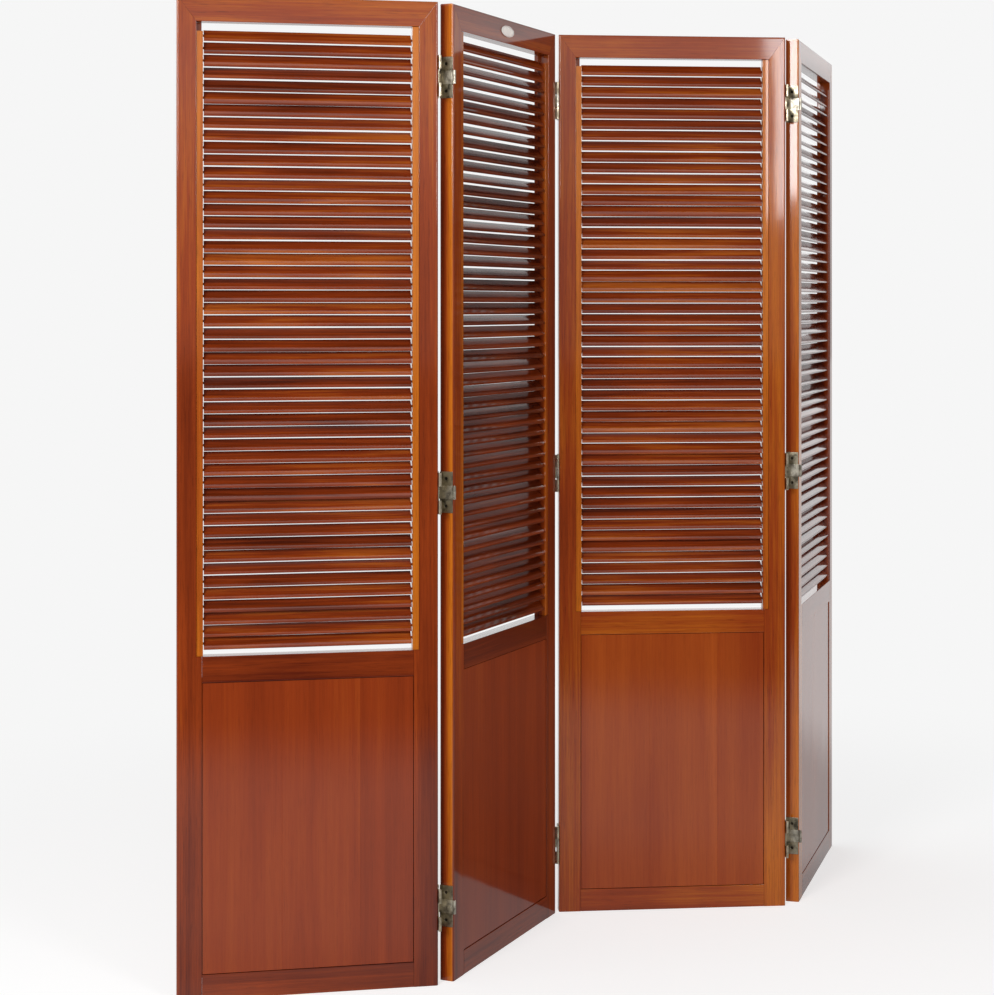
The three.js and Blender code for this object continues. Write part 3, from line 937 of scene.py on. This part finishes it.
# The strap leaf's brass is aged darker and also painted darker as shade in the fold; the strap's is
# rubbed brighter and carries a painted highlight.
LEAF_BRASS_AND_SHADE = aged_brass("dark brass and shade", (0.08, 0.07, 0.05), (0.42, 0.37, 0.27), 0.28, 0.45)
STRAP_BRASS_AND_SHEEN = aged_brass("rubbed brass and sheen", (0.16, 0.14, 0.11), (0.64, 0.59, 0.49), 0.26, 0.42)
# The screws are darkened brass: patina, and painted shade for the shadow in their countersunk
# holes.
SCREW_BRASS_AND_SHADE = aged_brass("dark screws and shade", (0.015, 0.012, 0.009), (0.07, 0.058, 0.042), 0.35, 0.55)

# %% Hang the panels on their hinges
for fold, (left_panel, side) in FOLDS.items():
    for level, height in HINGE_LEVELS.items():
        draw = random.Random(f"{fold} {level}")
        for kind, panel, x, hand in (
            ("pin_leaf", left_panel, PANEL_WIDTH + EDGE_GAP / 2, -1),
            ("strap_leaf", left_panel + 1, -EDGE_GAP / 2, 1),
        ):
            node = f"hinge_{fold}_{level}_{kind}"
            place = BENCH[panel] @ Matrix.Translation((x, 0, height))
            body = f"panel_{panel}"
            if kind == "pin_leaf":
                leaf, brass = pin_leaf(side), HINGE_BRASS
            else:
                leaf, brass = stand_up(leaf_plate(), hand), LEAF_BRASS_AND_SHADE
                finish_piece(strap(), f"{node}_strap", place, STRAP_BRASS_AND_SHEEN, body)
            finish_piece(leaf, f"{node}_brass", place, brass, body, [node])
            finish_piece(
                hinge_screws(hand, draw), f"{node}_screws", place, SCREW_BRASS_AND_SHADE, body)
print("hinges:", len(FOLDS) * len(HINGE_LEVELS))

# %% [markdown]
# ## The small plate
# A thin oval plate is pinned to the middle of one top rail. It is bare: a rim, a shallow dish
# with a slight crown, and nothing on it. A disc is drawn out to an oval. Its face is inset twice
# for the rim and three times more for the crown.

# %% Plate
PLATE_WIDTH = 58 * MM
PLATE_HEIGHT = 22 * MM
PLATE_THICK = 1.2 * MM
PLATE_ROUND = 0.3 * MM
RIM = 0.9 * MM
DISH = 0.35 * MM  # how deep the dish lies, and how wide the step down to it is
CROWN_STEPS = (0.7 * MM, 0.8 * MM, 0.9 * MM)
CROWN_RISE = 0.03 * MM


def oval_plate():
    """The plate lying on the bench, its back at z = 0."""
    bm = new_timber()
    bmesh.ops.create_cone(
        bm, cap_ends=True, segments=64, radius1=1.0, radius2=1.0, depth=PLATE_THICK)
    bmesh.ops.scale(bm, vec=(PLATE_WIDTH / 2, PLATE_HEIGHT / 2, 1), verts=bm.verts)
    bmesh.ops.translate(bm, vec=(0, 0, PLATE_THICK / 2), verts=bm.verts)
    face = max(bm.faces, key=lambda f: f.calc_center_median().z)
    round_over(bm, list(face.edges), PLATE_ROUND, 3)
    face = max(bm.faces, key=lambda f: (f.calc_center_median().z, f.calc_area()))
    bmesh.ops.inset_region(bm, faces=[face], thickness=RIM, depth=0.0)
    bmesh.ops.inset_region(bm, faces=[face], thickness=DISH, depth=-DISH)
    for thickness in CROWN_STEPS:
        bmesh.ops.inset_region(bm, faces=[face], thickness=thickness, depth=CROWN_RISE)
    return bm


def pale_plate():
    """Pale, slightly clouded metal."""
    material, tree, shader = blank_material("pale plate")
    place = tree.nodes.new("ShaderNodeTexCoord").outputs["Object"]
    cloud = stretched_noise(tree, place, (1, 1, 1), 160.0, 3.0)
    colour = colour_ramp(tree, cloud, [(0.3, (0.78, 0.72, 0.68)), (0.7, (0.90, 0.85, 0.80))])
    tree.links.new(colour, shader.inputs["Base Color"])
    shader.inputs["Metallic"].default_value = 0.85
    shader.inputs["Roughness"].default_value = 0.22
    return material


plate_place = BENCH[2] @ Matrix.Translation(
    (PANEL_WIDTH / 2, -HALF_THICK - SEAT, PANEL_HEIGHT - TOP_RAIL / 2)
) @ Matrix.Rotation(math.pi / 2, 4, "X")
finish_piece(
    oval_plate(), "badge_plate_bare", plate_place, pale_plate(), "panel_2",
    ["badge_plate"])
print("plate:", PLATE_WIDTH, "by", PLATE_HEIGHT)

# %% [markdown]
# ## Studio
# The screen stands on a white sweep in soft light, with the key light from the left. Far from
# the screen the floor gives its own even white, so it runs into the backdrop without a seam.
# The lacquer mirrors more than the camera sees: a room with bright bands at different heights
# before and behind the screen, and a floor that is brighter in some places than in others.

# %% World
BACKDROP = 0.922  # what the camera sees behind the screen

# Directions from the middle of the screen.
DARK_SIDE = (0.8, 0.0, 0.6)
BEHIND = (-0.2, 1.0, 0.0)
ROOM_SIDE = (-0.4, -0.92, 0.0)
RIGHT = (1.0, 0.0, 0.0)
OVERHEAD = (-0.10, -0.17, 0.98)

# Light that falls on the screen from all round: away from the dark side and towards it, and what
# the sweep behind adds.
AMBIENT = (0.52, 0.20)
SWEEP_LIGHT = 0.4

# The mirrored room, as (height of a direction, brightness), and how much all of it is raised.
FRONT_ROOM = [(0.0, 0.24), (0.05, 0.36), (0.12, 0.86), (0.18, 0.38), (0.43, 0.34), (1.0, 0.25)]
BACK_ROOM = [(0.0, 0.48), (0.06, 0.50), (0.105, 0.68), (0.12, 0.96), (0.43, 0.42), (1.0, 0.25)]
ROOM_GAIN = 1.35

# The mirrored floor: its brightness under the screen, then how much that changes between two
# distances, in metres, along a direction.
FLOOR_MIRRORED = 0.38
FLOOR_CHANGES = [
    (BEHIND, 0.1, 0.33, 0.31), (RIGHT, 0.6, 0.85, 0.12),
    (ROOM_SIDE, 0.1, 0.7, 0.24), (ROOM_SIDE, 1.7, 2.8, -0.60),
]
# The floor's own white takes over between these distances, and this share of it is there before.
FADE_FROM, FADE_TO, FADE_LEAST = 0.9, 2.6, 0.35
FLOOR_REACH = 40.0


def grey_ramp(tree, factor, stops):
    """A ramp of greys through (position, brightness) stops."""
    return colour_ramp(tree, factor, [(place, (grey, grey, grey)) for place, grey in stops])


def towards(tree, vector, direction, low, high):
    """0 to 1 as `vector` reaches from low to high along a direction."""
    dot = tree.nodes.new("ShaderNodeVectorMath")
    dot.operation = "DOT_PRODUCT"
    dot.inputs[1].default_value = direction
    tree.links.new(vector, dot.inputs[0])
    return map_range(tree, dot.outputs["Value"], low, high)


def ray_kinds(tree):
    """Two sockets: whether the camera sees this straight, and whether gloss mirrors it."""
    path = tree.nodes.new("ShaderNodeLightPath")
    seen = calculate(
        tree, "MAXIMUM", path.outputs["Is Camera Ray"], path.outputs["Is Transmission Ray"])
    return seen, path.outputs["Is Glossy Ray"]


def set_world():
    """Soft light for the object, a plain backdrop for the camera and a room for the gloss."""
    world = bpy.data.worlds.new("studio")
    bpy.context.scene.world = world
    world.use_nodes = True
    tree = world.node_tree
    tree.nodes.clear()
    direction = tree.nodes.new("ShaderNodeTexCoord").outputs["Generated"]
    height = tree.nodes.new("ShaderNodeSeparateXYZ")
    tree.links.new(direction, height.inputs["Vector"])
    front = grey_ramp(tree, height.outputs["Z"], FRONT_ROOM)
    back = grey_ramp(tree, height.outputs["Z"], BACK_ROOM)
    room = choose(tree, towards(tree, direction, BEHIND, -0.1, 0.5), front, back)
    room = calculate(tree, "MULTIPLY", room, ROOM_GAIN)
    room = calculate(tree, "ADD", room, towards(tree, direction, OVERHEAD, 0.92, 0.99))

    seen, glossy = ray_kinds(tree)
    ambient = choose(tree, towards(tree, direction, DARK_SIDE, -0.6, 0.9), *AMBIENT)
    from_sweep = towards(tree, direction, BEHIND, 0.0, 0.9)
    from_sweep = calculate(tree, "MULTIPLY", from_sweep, SWEEP_LIGHT)
    ambient = calculate(tree, "ADD", ambient, from_sweep)
    unseen = choose(tree, glossy, ambient, room)
    strength = choose(tree, seen, unseen, BACKDROP)
    background = tree.nodes.new("ShaderNodeBackground")
    background.inputs["Color"].default_value = (1, 1, 1, 1)
    output = tree.nodes.new("ShaderNodeOutputWorld")
    tree.links.new(strength, background.inputs["Strength"])
    tree.links.new(background.outputs["Background"], output.inputs["Surface"])


def floor_material():
    """White floor that takes the screen's shadow near it and glows evenly far from it.

    The glow is mixed in by its fade. Half of it is divided by the fade first, so that this half
    comes out the same at every distance.
    """
    material, tree, shader = blank_material("white sweep")
    shader.inputs["Base Color"].default_value = (0.9, 0.9, 0.9, 1.0)
    shader.inputs["Roughness"].default_value = 0.9
    shader.inputs["Specular IOR Level"].default_value = 0.0
    seen, glossy = ray_kinds(tree)
    place = tree.nodes.new("ShaderNodeTexCoord").outputs["Object"]
    reach = tree.nodes.new("ShaderNodeVectorMath")
    reach.operation = "LENGTH"
    tree.links.new(place, reach.inputs[0])
    fade = map_range(tree, reach.outputs["Value"], FADE_FROM, FADE_TO, to_low=FADE_LEAST)

    mirrored = FLOOR_MIRRORED
    for direction, low, high, change in FLOOR_CHANGES:
        step = calculate(tree, "MULTIPLY", towards(tree, place, direction, low, high), change)
        mirrored = calculate(tree, "ADD", mirrored, step)
    glow = tree.nodes.new("ShaderNodeEmission")
    glow.inputs["Color"].default_value = (1, 1, 1, 1)
    lamplit = calculate(tree, "DIVIDE", BACKDROP / 2, fade)
    white = calculate(tree, "ADD", lamplit, BACKDROP / 2)
    tree.links.new(choose(tree, glossy, white, mirrored), glow.inputs["Strength"])
    mix = tree.nodes.new("ShaderNodeMixShader")
    share = calculate(tree, "MULTIPLY", seen, fade)
    tree.links.new(calculate(tree, "MAXIMUM", share, glossy), mix.inputs["Fac"])
    tree.links.new(shader.outputs["BSDF"], mix.inputs[1])
    tree.links.new(glow.outputs["Emission"], mix.inputs[2])
    output = next(node for node in tree.nodes if node.type == "OUTPUT_MATERIAL")
    tree.links.new(mix.outputs["Shader"], output.inputs["Surface"])
    return material


def add_floor():
    """The floor, wide enough to reach the horizon."""
    bm = bmesh.new()
    bmesh.ops.create_grid(bm, x_segments=1, y_segments=1, size=FLOOR_REACH)
    mesh = bpy.data.meshes.new("floor")
    bm.to_mesh(mesh)
    bm.free()
    mesh.materials.append(floor_material())
    floor = bpy.data.objects.new("floor", mesh)
    bpy.context.scene.collection.objects.link(floor)


set_world()
add_floor()

# %% Camera and lights
# Where the camera stood and what it showed, found by least squares from the four panels.
CAMERA_AZIMUTH = math.radians(-38.89)
CAMERA_HEIGHT = 1.2434
CAMERA_GROUND = (-2.6629, -3.1376)
PHOTO = (994, 995)
FOCAL_PIXELS = 2059
CENTRE_COLUMN = 534
HORIZON_ROW = 305.8
SENSOR = 36.0
AIM_HEIGHT = 0.95


def add_camera():
    """A level camera, shifted down as a view camera is, so the panels' edges stay upright."""
    data = bpy.data.cameras.new("camera")
    data.sensor_fit = "HORIZONTAL"
    data.sensor_width = SENSOR
    data.lens = SENSOR * FOCAL_PIXELS / PHOTO[0]
    data.shift_x = (PHOTO[0] / 2 - CENTRE_COLUMN) / PHOTO[0]
    data.shift_y = (HORIZON_ROW - PHOTO[1] / 2) / PHOTO[0]
    data.clip_end = 200
    camera = bpy.data.objects.new("camera", data)
    bpy.context.scene.collection.objects.link(camera)
    camera.location = (*CAMERA_GROUND, CAMERA_HEIGHT)
    camera.rotation_euler = (math.pi / 2, 0, CAMERA_AZIMUTH)
    bpy.context.scene.camera = camera


def add_softbox(name, angle, distance, height, size, power):
    """A square area light, `angle` degrees to the left of the camera as the screen sees it."""
    heading = CAMERA_AZIMUTH - math.radians(angle)
    data = bpy.data.lights.new(name, "AREA")
    data.shape = "SQUARE"
    data.size = size
    data.energy = power
    lamp = bpy.data.objects.new(name, data)
    bpy.context.scene.collection.objects.link(lamp)
    lamp.location = (distance * math.sin(heading), -distance * math.cos(heading), height)
    aim = Vector((0, 0, AIM_HEIGHT)) - lamp.location
    lamp.rotation_euler = aim.to_track_quat("-Z", "Y").to_euler()


add_camera()
add_softbox("key", angle=25, distance=4.2, height=2.25, size=1.1, power=70)
add_softbox("fill", angle=-29.4, distance=4.26, height=2.1, size=1.0, power=34)
bpy.context.scene.view_settings.view_transform = "Standard"
